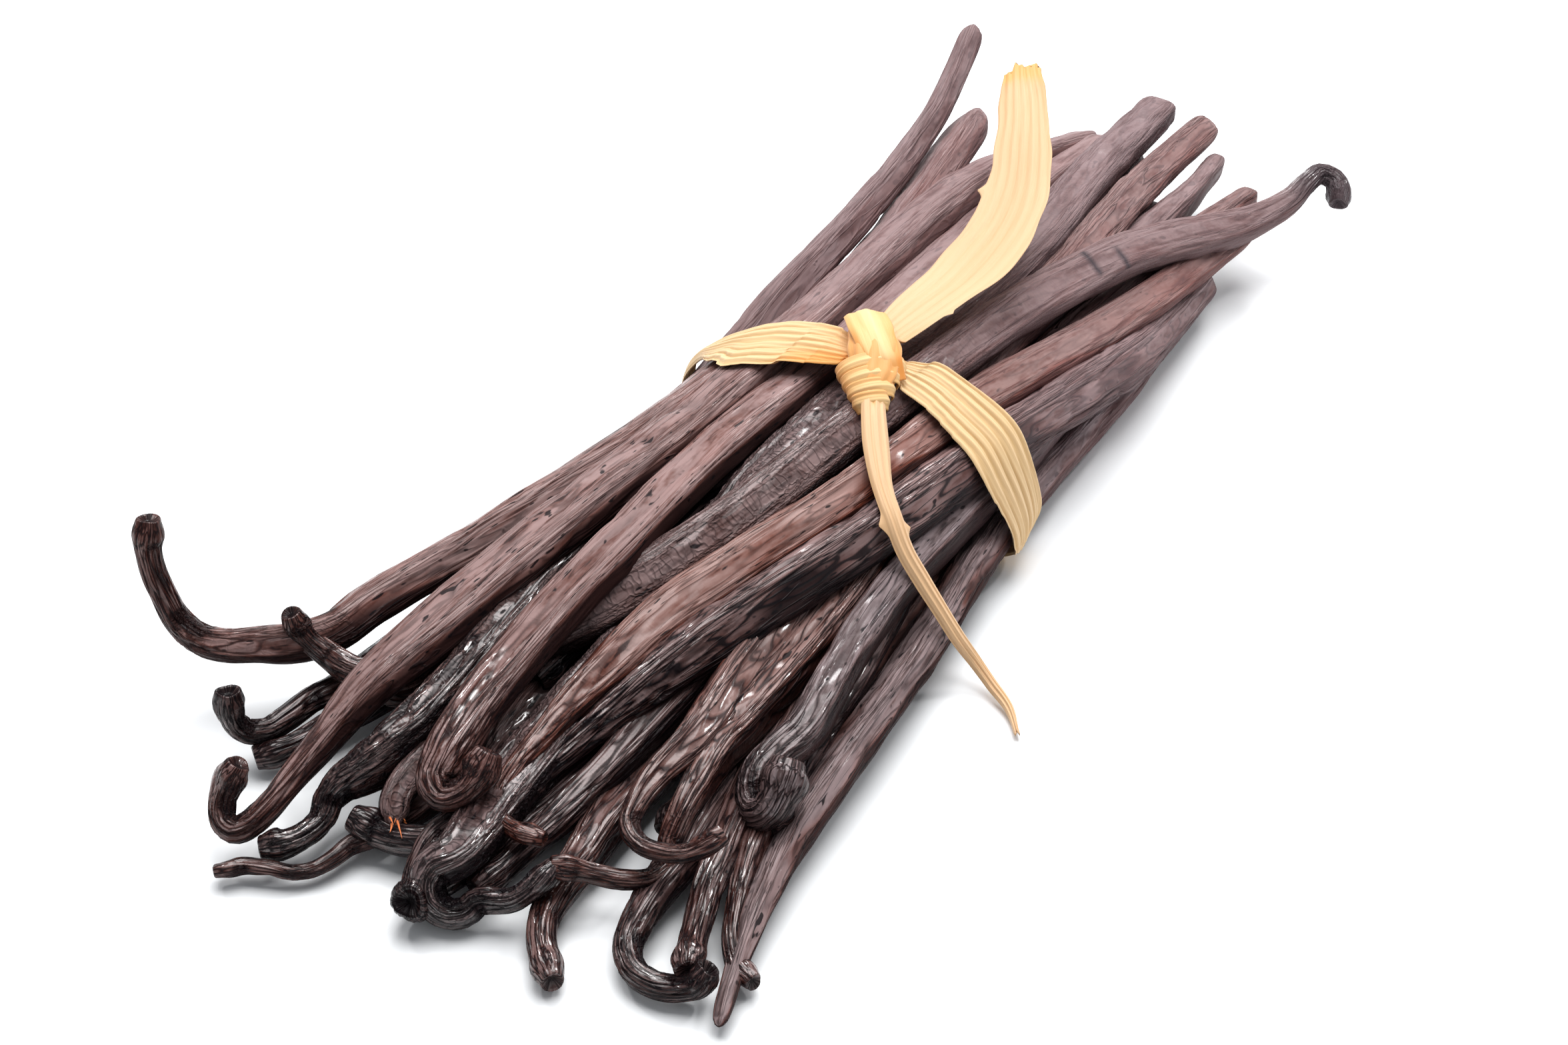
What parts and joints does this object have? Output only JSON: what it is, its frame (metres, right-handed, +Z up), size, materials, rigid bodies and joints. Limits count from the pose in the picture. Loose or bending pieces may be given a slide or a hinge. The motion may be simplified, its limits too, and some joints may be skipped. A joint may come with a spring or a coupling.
{
  "type": "bundle of vanilla pods",
  "caption": "Loose bundle of cured dark vanilla pods with hooked stems, lying flat and tied round its waist with knotted raffia.",
  "frame": {"origin": "on the table, under the middle of the box of the pods and the tie round them, without the raffia's tails", "axes": "+Z up; +X along the pods, from their hooked stem ends towards their far tips; +Y across the bundle, to its left seen from the stem ends"},
  "size_m": [0.1916, 0.0901, 0.0351],
  "materials": {
    "pod_skin": "dark purplish brown, wrinkled lengthwise, with an oily satin sheen",
    "raffia": "pale yellow dry palm strip with lengthwise fibres, orange at the folds and torn ends"
  },
  "bodies": {
    "root": {"pods": "pod_skin", "raffia_tie": "raffia", "tail_wide": "raffia", "tail_narrow": "raffia"}
  },
  "joints": []
}
